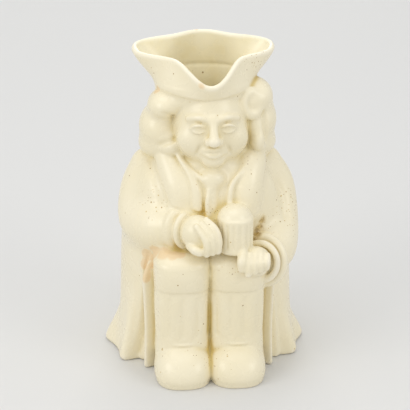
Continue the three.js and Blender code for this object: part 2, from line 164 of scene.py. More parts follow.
class Clay:
    # a field of distances on a grid, negative inside the clay
    def __init__(self, low, high, grain):
        self.low = np.array(low, float)
        self.grain = grain
        self.axes = [np.arange(a, b, grain, dtype=np.float32) for a, b in zip(low, high)]
        self.field = np.full([len(axis) for axis in self.axes], block["far"], np.float32)

    def nearby(self, low, high, reach):
        parts, spans = [], []
        for k, axis in enumerate(self.axes):
            first = int(np.searchsorted(axis, low[k] - reach))
            last = int(np.searchsorted(axis, high[k] + reach))
            parts.append(slice(first, max(last, first)))
            shape = [1, 1, 1]
            shape[k] = -1
            spans.append(axis[first:max(last, first)].reshape(shape))
        return tuple(parts), spans

    def add(self, shape, blend=0.0):
        low, high, distance = shape
        part, (x, y, z) = self.nearby(low, high, blend + 2 * self.grain)
        self.field[part] = smoothLower(self.field[part], distance(x, y, z), blend)

    def cut(self, shape, blend=0.0):
        low, high, distance = shape
        part, (x, y, z) = self.nearby(low, high, blend + 2 * self.grain)
        self.field[part] = -smoothLower(-self.field[part], distance(x, y, z), blend)

    def at(self, point):
        place = [int(round((point[k] - self.low[k]) / self.grain)) for k in range(3)]
        return self.field[tuple(np.clip(place, 0, np.array(self.field.shape) - 1))]

    def drape(self, stops):
        # slides each stop along the line of sight until it lies on the clay
        laid = []
        for x, y, z, radius in stops:
            point = Vector((x, y, z))
            for step in np.arange(-block["feel"], block["feel"], self.grain / 2):
                if self.at(point + sight * step) < 0:
                    point = point + sight * step
                    break
            laid.append((*point, radius))
        return laid

    def blank(self):
        return Clay(self.low, [axis[-1] + self.grain / 2 for axis in self.axes], self.grain)

    def join(self, other, blend):
        self.field = smoothLower(self.field, other.field, blend)

    def polygons(self):
        band = 3 * self.grain
        grid = openvdb.FloatGrid(band)
        grid.copyFromArray(np.clip(self.field, -band, band))
        points, triangles, quads = grid.convertToPolygons(isovalue=0.0, adaptivity=0.0)
        return points * self.grain + self.low, triangles, quads


def egg(centre, size, turn=(0, 0, 0)):
    spin = np.array(Euler([math.radians(t) for t in turn]).to_matrix())
    size = np.array(size, float)
    reach = np.sqrt(((spin * size) ** 2).sum(1))
    centre = np.array(centre, float)

    def distance(x, y, z):
        dx, dy, dz = x - centre[0], y - centre[1], z - centre[2]
        local = [dx * spin[0, k] + dy * spin[1, k] + dz * spin[2, k] for k in range(3)]
        near = np.sqrt(sum((local[k] / size[k]) ** 2 for k in range(3)))
        slope = np.sqrt(sum((local[k] / size[k] ** 2) ** 2 for k in range(3))) + 1e-6
        return near * (near - 1) / slope

    return centre - reach, centre + reach, distance


def curveThrough(stops, pieces):
    # points of a smooth curve through stops, with every value eased along it
    stops = np.array(stops, float)
    padded = np.vstack([2 * stops[0] - stops[1], stops, 2 * stops[-1] - stops[-2]])
    made = []
    for i in range(len(stops) - 1):
        a, b, c, d = padded[i:i + 4]
        for t in np.arange(pieces) / pieces:
            made.append(0.5 * (2 * b + (c - a) * t + (2 * a - 5 * b + 4 * c - d) * t ** 2
                               + (3 * b - 3 * c + d - a) * t ** 3))
    made.append(stops[-1])
    return np.array(made)


def limb(stops, pieces=4, flatten=(1, 1, 1)):
    # a round-ended rope through stops of x, y, z and radius; flatten squeezes it along an axis
    line = curveThrough(stops, pieces) if len(stops) > 2 else np.array(stops, float)
    flatten = np.array(flatten, float)
    radius = line[:, 3].max()
    low = line[:, :3].min(0) - radius / flatten
    high = line[:, :3].max(0) + radius / flatten

    def distance(x, y, z):
        best = None
        for a, b in zip(line[:-1], line[1:]):
            step = (b[:3] - a[:3]) * flatten
            px, py, pz = (x - a[0]) * flatten[0], (y - a[1]) * flatten[1], (z - a[2]) * flatten[2]
            share = np.clip((px * step[0] + py * step[1] + pz * step[2]) / (step @ step + 1e-9), 0, 1)
            gap = np.sqrt((px - share * step[0]) ** 2 + (py - share * step[1]) ** 2 + (pz - share * step[2]) ** 2)
            gap = gap - (a[3] + share * (b[3] - a[3]))
            best = gap if best is None else np.minimum(best, gap)
        return best

    return low, high, distance


def ring(centre, facing, radius, roll, tall=1.0):
    axis = Vector(facing).normalized()
    across = Vector((0, 0, 1)).cross(axis).normalized()
    upward = axis.cross(across)
    reach = radius * max(tall, 1) + roll
    centre = np.array(centre, float)

    def distance(x, y, z):
        dx, dy, dz = x - centre[0], y - centre[1], z - centre[2]
        along = dx * axis.x + dy * axis.y + dz * axis.z
        side = dx * across.x + dy * across.y + dz * across.z
        up = (dx * upward.x + dy * upward.y + dz * upward.z) / tall
        return np.hypot(np.hypot(side, up) - radius, along) - roll

    return centre - reach, centre + reach, distance


def between(stations, z):
    # every column of the stations, eased over height
    stations = np.array(stations, float)
    heights = stations[:, 0]
    slopes = np.gradient(stations[:, 1:], heights, axis=0)
    i = np.clip(np.searchsorted(heights, z) - 1, 0, len(heights) - 2)
    gap = heights[i + 1] - heights[i]
    t = np.clip((z - heights[i]) / gap, 0, 1)[:, None]
    gap = gap[:, None]
    return (stations[i, 1:] * (1 + 2 * t) * (1 - t) ** 2 + stations[i + 1, 1:] * t ** 2 * (3 - 2 * t)
            + slopes[i] * gap * t * (1 - t) ** 2 - slopes[i + 1] * gap * t ** 2 * (1 - t))


def loft(centre, stations, squareness, standsOut=None, inset=0.0, rounding=3.0):
    # squared ovals stacked on stations of height, half width, reach to the front and to the back
    table = np.array(stations, float)
    x0, y0 = centre
    bulge = coat["mostFold"] if standsOut else 1
    wide, ahead, behind = (table[:, k].max() + bulge for k in (1, 2, 3))
    low = np.array([x0 - wide, y0 - ahead, table[0, 0]])
    high = np.array([x0 + wide, y0 + behind, table[-1, 0]])

    def distance(x, y, z):
        dx, dy = x - x0, y - y0
        away = np.hypot(dx, dy) + 1e-6
        side, front, back = (between(stations, z.ravel()) - inset).astype(np.float32).T
        forward = np.where(dy < 0, front, back)
        power = -squareness
        reach = (np.abs(dx / away) ** squareness * side ** power
                 + np.abs(dy / away) ** squareness * forward ** power) ** (1 / power)
        if standsOut:
            reach = reach + standsOut(np.arctan2(dy, dx), z)
        walls = away - reach + rounding
        ends = np.maximum(table[0, 0] - z, z - table[-1, 0]) + rounding
        return (np.hypot(np.maximum(walls, 0), np.maximum(ends, 0))
                + np.minimum(np.maximum(walls, ends), 0) - rounding)

    return low, high, distance


def barrel(centre, radius, halfHeight, rounding):
    # an upright turned drum with rounded edges
    centre = np.array(centre, float)
    reach = np.array([radius, radius, halfHeight])

    def distance(x, y, z):
        out = np.hypot(x - centre[0], y - centre[1]) - radius + rounding
        up = np.abs(z - centre[2]) - halfHeight + rounding
        return np.hypot(np.maximum(out, 0), np.maximum(up, 0)) + np.minimum(np.maximum(out, up), 0) - rounding

    return centre - reach, centre + reach, distance


def beside(middle, side, stops):
    return [(middle + side * stop[0], *stop[1:]) for stop in stops]


coat = {
    "squareness": 2.4, "mostFold": 16,
    "stations": [
        (0, 67, 42, 56), (10, 64.6, 42, 53.5), (24, 62.2, 42, 49.5), (48, 60.8, 43, 46.3), (74, 60, 45.3, 45),
        (98, 58.4, 47.5, 44), (118, 55.5, 48, 43), (134, 50.5, 45.5, 40), (146, 43.5, 39.5, 35), (158, 30, 28, 27),
    ],
    # direction, spread on either side of it, how far out, where it starts to fade and where it has gone
    "folds": [
        (3, 9, 14, 5.6, 0, 26), (-26, 5, 9, 7.2, 0, 46), (-46.8, 2.8, 4.4, 12.5, 60, 92), (-35, 2.6, 2.6, 3, 20, 60),
        (176, 14, 8, 6.4, 0, 30), (-152, 8, 3.2, 6, 0, 62), (-135, 4.6, 3.8, 11.5, 66, 92),
        (36, 8, 8, 3.4, 8, 70), (60, 7, 7, 3.2, 12, 84), (82, 6, 6, 3.2, 30, 92),
        (98, 6, 6, 3.2, 30, 92), (120, 7, 7, 3.2, 12, 84), (145, 8, 8, 3.4, 8, 70),
    ],
    # direction at the hem, lean with height, side it faces, step, groove, where it fades
    "edges": [(-150, 0.137, -1, 2.4, 2.2, 76, 92)],
}


def coatFolds(angle, z):
    out = 0
    for at, before, after, amount, fadeFrom, fadeTo in coat["folds"]:
        turn = turnFrom(angle, at)
        out = out + (bell(turn, np.where(turn < 0, before, after)) * amount).astype(np.float32) \
            * (1 - easeStep(z, fadeFrom, fadeTo)).astype(np.float32)
    # the coat's front edge stands proud of the pleats beside the knee
    for at, lean, side, step, groove, fadeFrom, fadeTo in coat["edges"]:
        turn = side * turnFrom(angle, at + lean * z)
        raised = step * bell(turn, 13) * easeStep(turn, -1.2, 0.6) - groove * bell(turn + 1.2, 1.4)
        out = out + raised.astype(np.float32) * (1 - easeStep(z, fadeFrom, fadeTo)).astype(np.float32)
    return out


def buildCoat(clay):
    clay.add(loft((0, 0), coat["stations"], coat["squareness"], coatFolds))


leg = {
    "middle": -0.7, "apart": 18.7, "y": -48.5, "squareness": 2.9,
    "stations": [(12, 19.2, 17.8, 12), (24, 19.2, 17.4, 12), (30, 18.8, 17.2, 12), (46, 19.1, 18, 12),
                 (60, 19.2, 18.7, 12), (74, 18.9, 18.7, 12)],
    "breeches": [(67.2, 19.3, 19.6, 12), (73, 19.6, 20.5, 12), (81, 19.6, 20.6, 12), (88, 18.7, 18.4, 12),
                 (93, 14, 12, 10)],
    "between": [(-60, 6, 7), (-48, 24, 6), (-47, 60, 6), (-53, 78, 8)],
    # height, roll and reach of each band, and the turns of its arc
    "garters": [(28.4, 0.8, 17.7), (25.4, 0.7, 17.7)], "garterTurns": (-70, -48, -24, 0, 24, 48, 70),
    "blends": {"between": 1.0, "stocking": 1.2, "breeches": 0.8, "garter": 1.0},
}

shoe = {
    "y": -57, "squareness": 2.6, "blend": 1.6,
    "stations": [(-3, 19, 22.6, 16), (3.2, 19.6, 23.6, 16), (4.8, 20, 24.2, 16), (9, 20.1, 24.2, 16),
                 (14, 19.4, 22.4, 16), (19, 17.5, 18.6, 15.5), (23, 14, 13.6, 14), (27, 8, 7, 9)],
}


def buildLegs(clay):
    # the two legs are pressed from one lump, with only a crease between them
    blends = leg["blends"]
    clay.add(limb([(leg["middle"], *stop) for stop in leg["between"]], 2), blends["between"])
    for side in (-1, 1):
        x = leg["middle"] + side * leg["apart"]
        clay.add(loft((x, leg["y"]), leg["stations"], leg["squareness"], rounding=4), blends["stocking"])
        clay.add(loft((x, leg["y"]), leg["breeches"], leg["squareness"], rounding=1.6), blends["breeches"])
        clay.add(loft((x, shoe["y"]), shoe["stations"], shoe["squareness"], rounding=3), shoe["blend"])
        for z, roll, out in leg["garters"]:
            # the band round the ankle, as an arc on the stocking
            arc = [(x + (out + 0.2) * math.sin(math.radians(a)), leg["y"] - out * math.cos(math.radians(a)),
                    z - 0.8 * math.cos(math.radians(a)), roll) for a in leg["garterTurns"]]
            clay.add(limb(arc, 3), blends["garter"])


mugArm = {
    "sleeve": [(-40, -2, 137, 12.5), (-44.5, -5, 121, 15.2), (-44.5, -16, 105, 17), (-35, -31, 103.5, 18),
               (-23.6, -42, 106.8, 13.2)],
    "cuffs": [((-20.8, -45.2, 107.2), (0.62, -0.78, 0.05), 11, 2.9, 1.14),
              ((-15.8, -50.4, 107.6), (0.62, -0.78, 0.05), 10, 2.2, 1.14)],
    "palm": ((-9.4, -57, 108.2), (11.4, 11.2, 12.2), (0, 6, -30)),
    "heel": ((-5, -61.5, 103.5), (8.2, 7.6, 7.4)),
    "finger": [(-3.4, -60.5, 118.6, 2.2), (2.2, -66.2, 113.8, 2.6), (4.4, -68.4, 106.6, 2.7), (4.0, -68.4, 99, 2.5)],
    "next": [(-3.4, -2.6, -1.4), (-3.6, -2.0, -2.4), (-3.9, -1.4, -1.8), (-3.9, -0.9, -0.6)],
    "fingers": 3,
    "thumb": [(-14.5, -64, 101.6, 3.2), (-11.4, -69, 100.4, 3.3), (-8.4, -70.4, 99.4, 3.1)],
}

kneeArm = {
    "sleeve": [(41.5, -2, 137, 12.5), (47.4, -5, 121, 15.2), (48.4, -18, 99, 16), (45.5, -34, 87, 16),
               (39.2, -44.5, 84, 14)],
    "cuffs": [((36.8, -50, 83.4), (-0.42, -0.88, 0.2), 14.4, 3.0, 1.1),
              ((34.0, -56, 84.8), (-0.42, -0.88, 0.2), 12.2, 2.3, 1.06)],
    "palm": ((30, -63.5, 89.6), (10.2, 9.6, 9.2), (24, 0, 8)),
    "heel": ((30, -66, 84), (8, 5.6, 5.5)),
    "finger": [(25.8, -68.6, 95.6, 2.2), (24.6, -72.6, 90, 2.5), (24.2, -73.2, 83.6, 2.5)],
    "next": [(3.9, 0.3, -0.4), (4.1, 0.3, 0.4), (4.1, 0.9, 1.1)],
    "fingers": 4,
    "thumb": [(21.6, -65.5, 98, 3.0), (20.2, -71.4, 92.6, 3.7), (20.4, -71.8, 87.4, 3.4)],
}


armBlends = {"sleeve": 7.0, "palm": 1.2, "heel": 1.5, "cuff": 1.6, "finger": 0.7, "thumb": 1.0}


def buildArm(clay, arm):
    clay.add(limb(arm["sleeve"], 5), armBlends["sleeve"])
    clay.add(egg(*arm["palm"]), armBlends["palm"])
    clay.add(egg(*arm["heel"]), armBlends["heel"])
    for centre, facing, radius, roll, tall in arm["cuffs"]:
        clay.add(ring(centre, facing, radius, roll, tall), armBlends["cuff"])
    for i in range(arm["fingers"]):
        stops = [tuple(np.array(stop[:3]) + i * np.array(step)) + (stop[3],)
                 for stop, step in zip(arm["finger"], arm["next"])]
        clay.add(limb(stops), armBlends["finger"])
    clay.add(limb(arm["thumb"]), armBlends["thumb"])


mug = {
    "x": 16.8, "y": -56.5, "bottom": 94.5, "rim": 119.5, "radius": 12.0, "rounding": 1.4,
    "froth": ((16.4, -55.3, 117.5), (11.8, 11.6, 9.6)),
    "behind": ((8, -46.5, 107), (20, 9.5, 14)),
    "blends": {"behind": 3.0, "drum": 1.0, "froth": 1.2},
}


def buildMug(clay):
    blends = mug["blends"]
    clay.add(egg(*mug["behind"]), blends["behind"])
    middle = (mug["bottom"] + mug["rim"]) / 2
    half = (mug["rim"] - mug["bottom"]) / 2
    clay.add(barrel((mug["x"], mug["y"], middle), mug["radius"], half, mug["rounding"]), blends["drum"])
    clay.add(egg(*mug["froth"]), blends["froth"])


front = {
    "lapel": [(-29, -22, 153, 8), (-24.5, -29.5, 143, 9.5), (-20.5, -36, 132, 10.6), (-19, -38, 118, 10.5)],
    "waistcoat": [(-23, -29, 158, 1.2), (-19, -35.5, 152.5, 1.6), (-12.8, -41.2, 143.5, 2.6), (-9.4, -44.8, 134, 3.9),
                  (-8.6, -46.4, 124, 4.3), (-8.6, -46.4, 116, 4.0)],
    "collar": [(-22, -27, 158, 1.2), (-18.6, -33, 152.4, 1.5), (-12.2, -39.4, 146.6, 1.7), (-4.4, -45.2, 141.4, 1.8)],
    "rightLapel": [(34, -20, 153, 8.5), (28.5, -29.5, 143, 10.8), (25, -36, 131, 12), (24, -38, 117, 12)],
    "rightEdge": [(27.4, -34, 149.4, 1.2), (21.6, -40.8, 144.8, 1.6), (15.2, -45.4, 137.4, 2.0),
                  (13.4, -48, 128, 2.1),
                  (13.6, -49, 119, 2.0)],
    "neckcloth": ((2.2, -31, 147.5), (18, 10, 7.5), (14, 0, 0)),
    "knot": ((2.1, -42.4, 141.2), (8.4, 6.4, 6.2)),
    "fall": [(1.4, -44.4, 136, 4.2), (1.0, -45.4, 128, 4.8), (1.2, -46, 117, 5.2)],
    "fold": [(-0.6, -48, 135, 1.6), (-1.8, -50.2, 127, 1.8), (-1.4, -50.6, 118, 1.8)],
    # in the order they are laid
    "blends": {"lapel": 3.0, "rightLapel": 3.0, "neckcloth": 3.0, "rightEdge": 2.2, "fall": 2.0, "knot": 4.0,
               "fold": 1.6, "collar": 1.2, "waistcoat": 1.4},
    # soft grooves where the sleeves meet the chest and the coat's back, and their blends
    "grooves": [([(-39, -18, 148, 0.3), (-35.2, -30, 135.3, 0.6), (-30.5, -40, 123.5, 0.4)], 7),
                ([(42, -14, 147, 0.3), (48.8, -28, 132.3, 0.8), (52.5, -32, 122, 0.6), (54, -32, 108, 0.2)], 7),
                ([(-26, -44, 121.5, 0.3), (-17, -49, 121, 0.8), (-5, -52, 120, 0.8)], 2)],
}


def drawGrooves(clay):
    for stops, blend in front["grooves"]:
        clay.cut(limb(clay.drape(stops), 5), blend)


def buildFront(clay):
    for name, blend in front["blends"].items():
        shape = egg(*front[name]) if name in ("neckcloth", "knot") else limb(front[name])
        clay.add(shape, blend)


face = {
    "middle": 2.6,
    "skull": ((0, -15, 175), (27.5, 31, 34)),
    "jaw": ((0, -20, 162.5), (25, 25.5, 15)),
    "chin": ((0, -42.2, 154.6), (7.5, 5.2, 5.0)),
    "brow": [(3.4, -44.6, 183.4, 1.5), (9.5, -44.2, 185.4, 1.8), (16.5, -39.6, 183.6, 1.3)],
    "socket": ((10, -49.4, 178.4), (7.4, 5.8, 4.4), (0, 0, 12)),
    "eyeball": ((9.9, -39.8, 177.9), (5.6, 5.2, 4.6)),
    "upperLid": [(4.6, -43.6, 177.5, 0.9), (7.2, -45.1, 179.8, 1.1), (10, -45.5, 180.6, 1.2),
                 (12.8, -44.3, 179.7, 1.1),
                 (15.2, -41.9, 177.4, 0.9)],
    "lowerLid": [(4.8, -43.6, 177.3, 0.7), (7.4, -44.9, 175.6, 0.9), (10, -45.1, 175.1, 0.9),
                 (12.8, -44.1, 175.6, 0.9),
                 (15.2, -41.9, 177.3, 0.7)],
    "pupil": ((9.6, -45.6, 178.0), (1.1, 1.0, 1.1)),
    "bridge": [(0, -44.4, 184.4, 2.4), (0, -47.6, 178, 2.7), (0, -51.2, 171.8, 3.5)],
    "tip": ((0, -51.8, 170.6), (4.2, 4.0, 3.5)),
    "wing": ((4.0, -48.2, 169.6), (2.9, 3.6, 2.7)),
    "nostril": ((2.2, -51.4, 166.9), (1.3, 1.8, 1.1)),
    "cheek": ((14.4, -36, 168.2), (9.2, 7.4, 8.8)),
    "smile": [(6.4, -48.6, 169.2, 0.3), (9.6, -48, 165.6, 0.6), (11.4, -46.4, 160.8, 0.3)],
    "upperLip": [(-8.8, -43.6, 162, 0.7), (-4.2, -46.6, 163.4, 1.3), (-1.6, -47.7, 163.9, 1.5),
                 (0, -47.6, 163.4, 1.4),
                 (1.6, -47.7, 163.9, 1.5), (4.2, -46.6, 163.4, 1.3), (8.8, -43.6, 162, 0.7)],
    "lowerLip": [(-7.4, -44, 160.8, 0.8), (-3.2, -46.7, 159.6, 1.9), (0, -47.4, 159.2, 2.2), (3.2, -46.7, 159.6, 1.9),
                 (7.4, -44, 160.8, 0.8)],
    "mouthLine": [(-9.6, -44.6, 162.2, 0.3), (-4.2, -48.6, 161.6, 0.5), (0, -49.8, 161.2, 0.5),
                  (4.2, -48.6, 161.6, 0.5),
                  (9.6, -44.6, 162.2, 0.3)],
    "blends": {
        "skull": 1.5, "jaw": 5.0, "cheek": 6.0, "brow": 4.0, "socket": 3.0, "chin": 4.0, "bridge": 2.4, "tip": 1.6,
        "wing": 1.8, "nostril": 0.6, "eyeball": 0.6, "upperLid": 0.6, "lowerLid": 0.8, "pupil": 0.5, "smile": 2.4,
        "upperLip": 1.6, "lowerLip": 1.8, "mouthLine": 0.9,
    },
}


def buildHead(clay):
    x = face["middle"]

    def on(side, name):
        (dx, y, z), size, *turn = face[name]
        turn = turn[0] if turn else (0, 0, 0)
        return egg((x + side * dx, y, z), size, (turn[0], side * turn[1], side * turn[2]))

    def line(side, name):
        return limb(beside(x, side, face[name]))

    def work(how, shape, side, *names):
        for name in names:
            how(shape(side, name), face["blends"][name])

    work(clay.add, on, 1, "skull", "jaw")
    for side in (-1, 1):
        work(clay.add, on, side, "cheek")
        work(clay.add, line, side, "brow")
        work(clay.cut, on, side, "socket")
    work(clay.add, on, 1, "chin")
    work(clay.add, line, 1, "bridge")
    work(clay.add, on, 1, "tip")
    for side in (-1, 1):
        work(clay.add, on, side, "wing")
        work(clay.cut, on, side, "nostril")
        work(clay.add, on, side, "eyeball")
        work(clay.add, line, side, "upperLid", "lowerLid")
        work(clay.cut, on, side, "pupil")
        clay.cut(limb(clay.drape(beside(x, side, face["smile"]))), face["blends"]["smile"])
    work(clay.add, line, 1, "upperLip", "lowerLip")
    work(clay.cut, line, 1, "mouthLine")


wig = {
    "middle": 1.6,
    "back": ((0, 6, 172), (41, 30, 31)),
    "nape": ((0, 11, 154.5), (41, 25, 12)),
    "curls": [
        # left: crown roll, full roll, collar roll and the lock beside the cheek
        ((-27.4, -17, 188), (13, 17.5, 10.8), (0, -10, -12)), ((-31.5, -10.5, 170), (14.6, 20.5, 16.5), (0, -6, -10)),
        ((-33, -8, 157.5), (13.6, 19.5, 10.5), (0, 0, -8)), ((-24.6, -25, 161), (8.2, 9.6, 8.6), (0, 18, 0)),
        ((-19, -24, 193), (8, 10, 8), (0, 0, 0)),
        # right: one long roll outside, and a lock beside the cheek
        ((33, -12, 191), (12, 17.5, 12), (0, 14, 14)), ((35, -10, 174), (13, 19.5, 17), (0, 2, 10)),
        ((34.5, -8, 158), (13.6, 19.5, 11.5), (0, 0, 10)), ((34.6, -27, 163.5), (5.2, 8, 8.8), (0, 0, 0)),
        ((29, -21, 189), (8.8, 9.6, 11), (0, 0, 0)), ((32.5, -20, 174), (6.5, 11, 9), (0, 0, 0)),
    ],
    "ringCurl": ((29.6, -28.4, 189.6), (0.36, -0.9, 0.2), 5.8, 3.0, 1.3),
    "lock": [(-33, -11, 201.5, 1.6), (-30.5, -18, 198, 2.6), (-28.6, -23, 194.6, 1.4)],
    "creases": [[(-19.5, -37, 171.5, 1.0), (-25.5, -37.5, 167.6, 1.6), (-33, -33, 163.2, 0.8)],
                [(-20.5, -34, 184, 1.2), (-25, -33, 183.2, 1.2), (-29.5, -31.5, 184.6, 0.5)],
                [(37.8, -25, 182, 0.8), (38.8, -29, 174, 1.4), (39.8, -29, 163, 1.0)]],
    "blends": {"back": 2.0, "curl": 5.0, "crease": 3.0, "ringCurl": 1.2, "lock": 1.6, "hair": 1.0},
}


def buildWig(clay):
    x, blends = wig["middle"], wig["blends"]
    for (dx, y, z), size in (wig["back"], wig["nape"]):
        clay.add(egg((x + dx, y, z), size), blends["back"])
    hair = clay.blank()
    for centre, size, turn in wig["curls"]:
        hair.add(egg(centre, size, turn), blends["curl"])
    for crease in wig["creases"]:
        hair.cut(limb(hair.drape(crease)), blends["crease"])
    hair.add(ring(*wig["ringCurl"]), blends["ringCurl"])
    hair.add(limb(wig["lock"]), blends["lock"])
    clay.join(hair, blends["hair"])


hat = {
    "x": -1.0, "y": -4.0, "thick": 4.4, "brim": 28.0,
    "crown": (34.5, 37.5, 31.0), "squareness": 2.2,
    # direction, extra reach, spread before and after it
    "corners": [(167, 22, 24, 34), (13, 22, 34, 24), (-87, 13, 38, 38)],
    "rimZ": 221.0, "backRise": 7.0, "spout": (-86, 14, 25),
    "footZ": 200.5, "footDip": 2.5, "bend": 0.16, "bowlLift": 2,
    # the space that the brim and the bowl are worked in
    "low": (-56, -50, 190), "high": (56, 34, 232), "bowlLow": (-56, -50, 196), "bowlHigh": (56, 34, 240),
    "blends": {"bowl": 1.0, "band": 1.0, "brim": 1.2},
    "band": [(184, 31.5, 31.5, 29.5), (194, 33.6, 34.4, 30.2), (203, 34.3, 37.2, 30.9)],
}


def brimReach(angle):
    reach = hat["brim"]
    for at, out, before, after in hat["corners"]:
        turn = turnFrom(angle, at)
        reach = reach + out * bell(turn, np.where(turn < 0, before, after))
    return reach


def rimHeight(angle):
    at, drop, spread = hat["spout"]
    rise = hat["backRise"] * np.maximum(0, np.sin(angle)) ** 0.9
    return hat["rimZ"] - hat["thick"] / 2 + rise - drop * bell(turnFrom(angle, at), spread)


def hatPlan(x, y):
    dx, dy = x - hat["x"], y - hat["y"]
    away = np.hypot(dx, dy) + 1e-6
    angle = np.arctan2(dy, dx)
    side, ahead, behind = hat["crown"]
    forward = np.where(dy < 0, ahead, behind)
    power = hat["squareness"]
    crown = ((np.abs(dx / away) / side) ** power + (np.abs(dy / away) / forward) ** power) ** (-1 / power)
    footZ = hat["footZ"] - hat["footDip"] * bell(turnFrom(angle, -90), 26)
    return away, angle, crown, footZ


def hatSurface(x, y, z):
    # how far out from the middle of the sheet, and how far beyond its rim
    half = hat["thick"] / 2
    away, angle, crown, footZ = hatPlan(x, y)
    rim, top = brimReach(angle) - half, rimHeight(angle)
    inner = crown - half

    def middleAt(z, rim, inner, footZ, top):
        share = np.clip((z - footZ) / (top - footZ), 0, 1)
        return inner + (rim - inner) * (share + hat["bend"] * np.sin(math.pi * share) * (share - 0.4))

    # the slope round the hat, from a small turn; near the axis it is taken as at 15 mm
    turn = np.float32(0.02)
    arc = turn * np.maximum(away, 15)
    nextRim, nextTop = brimReach(angle + turn) - half, rimHeight(angle + turn)
    middle = middleAt(z, rim, inner, footZ, top)
    leanUp = middleAt(z + 0.5, rim, inner, footZ, top) - middleAt(z - 0.5, rim, inner, footZ, top)
    around = (middleAt(z, nextRim, inner, footZ, nextTop) - middle) / arc
    out = (away - middle) / np.sqrt(1 + leanUp ** 2 + around ** 2)
    along = ((nextTop - top) / arc) ** 2
    beyond = np.maximum((z - top) / np.sqrt(1 + along), footZ - z)
    return out, beyond


def hatSheet():
    # the cocked brim as a sheet of even thickness with a rounded rim
    def distance(x, y, z):
        out, beyond = hatSurface(x, y, z)
        return np.hypot(out, np.maximum(beyond, 0)) - hat["thick"] / 2

    return hat["low"], hat["high"], distance


def hatInside():
    # everything inside the bowl of the hat
    def distance(x, y, z):
        out, beyond = hatSurface(x, y, z)
        return np.maximum(out, hat["footZ"] + hat["bowlLift"] - z)

    return hat["bowlLow"], hat["bowlHigh"], distance


def buildHat(clay):
    blends = hat["blends"]
    clay.cut(hatInside(), blends["bowl"])
    clay.add(loft((hat["x"], hat["y"]), hat["band"], hat["squareness"], rounding=1), blends["band"])
    clay.add(hatSheet(), blends["brim"])


handle = {
    "path": [(24, 183), (46, 187), (65, 180), (75, 160), (75.5, 134), (68, 110), (52, 96), (34, 91)],
    "halfWidth": 7.2, "halfDepth": 5.4, "blend": 4.0,
}


def buildHandle(clay):
    squeeze = handle["halfDepth"] / handle["halfWidth"]
    stops = [(0, y, z, handle["halfDepth"]) for y, z in handle["path"]]
    clay.add(limb(stops, 5, (squeeze, 1, 1)), handle["blend"])


hollow = {
    "wall": 5.0, "floor": 7.0,
    "neck": [(140, 31, 25, 27), (152, 26.5, 25, 26), (164, 25.2, 28, 27), (176, 25, 29.6, 27.6),
             (186, 26.4, 30.2, 26.4), (194, 28.6, 31.6, 26.2), (203, 30.1, 33.1, 26.6)],
    "shin": [(19.3, -48.5, 20, 11.5), (19.3, -46.5, 60, 13), (17.4, -34.5, 76, 14)],
    "footRim": 11.0, "footDepth": 2.0,
    "blends": {"body": 3.0, "neck": 2.5, "shin": 2.0, "foot": 0.6, "ground": 0.8},
}


def insides():
    # the body's hollow, the neck and the bowl of the hat
    stations = [(hollow["floor"], *coat["stations"][2][1:])] + [s for s in coat["stations"] if 24 <= s[0] < 150]
    body = loft((0, 0), stations, coat["squareness"], inset=hollow["wall"], rounding=6)
    neck = loft((hat["x"], hat["y"]), hollow["neck"], hat["squareness"], rounding=1)
    return body, neck, hatInside()


def buildHollow(clay):
    body, neck, _ = insides()
    blends = hollow["blends"]
    clay.cut(body, blends["body"])
    clay.cut(neck, blends["neck"])
    for side in (-1, 1):
        clay.cut(limb(beside(leg["middle"], side, hollow["shin"])), blends["shin"])


def finishFoot(clay):
    recess = [(-4, *coat["stations"][0][1:]), (hollow["footDepth"], *coat["stations"][0][1:])]
    clay.cut(loft((0, 0), recess, coat["squareness"], inset=hollow["footRim"], rounding=1.2),
             hollow["blends"]["foot"])
    z = clay.axes[2].reshape(1, 1, -1)
    clay.field = -smoothLower(-clay.field, z, hollow["blends"]["ground"])


def sculpt():
    clay = Clay(block["low"], block["high"], block["grain"])
    buildCoat(clay)
    print("coat done")
    buildLegs(clay)
    buildArm(clay, mugArm)
    buildArm(clay, kneeArm)
    buildMug(clay)
    buildFront(clay)
    drawGrooves(clay)
    print("limbs and mug done")
    buildHead(clay)
    buildWig(clay)
    buildHat(clay)
    buildHandle(clay)
    print("head and hat done")
    buildHollow(clay)
    finishFoot(clay)
    return clay


def addNode(tree, kind, links, **settings):
    node = tree.nodes.new(kind)
    for name, value in settings.items():
        setattr(node, name, value)
    for key, value in links.items():
        if isinstance(value, bpy.types.NodeSocket):
            tree.links.new(value, node.inputs[key])
        else:
            node.inputs[key].default_value = value
    return node


def sums(tree):
    # a short way to write sums in a node tree
    def work(operation, *values):
        return addNode(tree, "ShaderNodeMath", dict(enumerate(values)), operation=operation).outputs[0]
    return work


def ease(tree, value, low, high, start=0.0, end=1.0):
    links = {"Value": value, "From Min": low, "From Max": high, "To Min": start, "To Max": end}
    return addNode(tree, "ShaderNodeMapRange", links, interpolation_type="SMOOTHSTEP").outputs["Result"]


def socketIn(tree, name, kind, value=None):
    socket = tree.interface.new_socket(name, in_out="INPUT", socket_type=kind)
    if value is not None:
        socket.default_value = value
    return socket


fluted = {
    # middle, how many round, depth, bottom, top, nearest and furthest from the middle, turn of the pattern
    "mug": ((mug["x"], mug["y"]), 16, 0.9, 97.5, 117.5, 10.6, 13.2, 0.0),
    "leftStocking": ((leg["middle"] - leg["apart"], leg["y"]), 12, 0.85, 31.0, 65.0, 15.5, 21.5, 15.0),
    "rightStocking": ((leg["middle"] + leg["apart"], leg["y"]), 12, 0.85, 31.0, 65.0, 15.5, 21.5, 0.0),
}


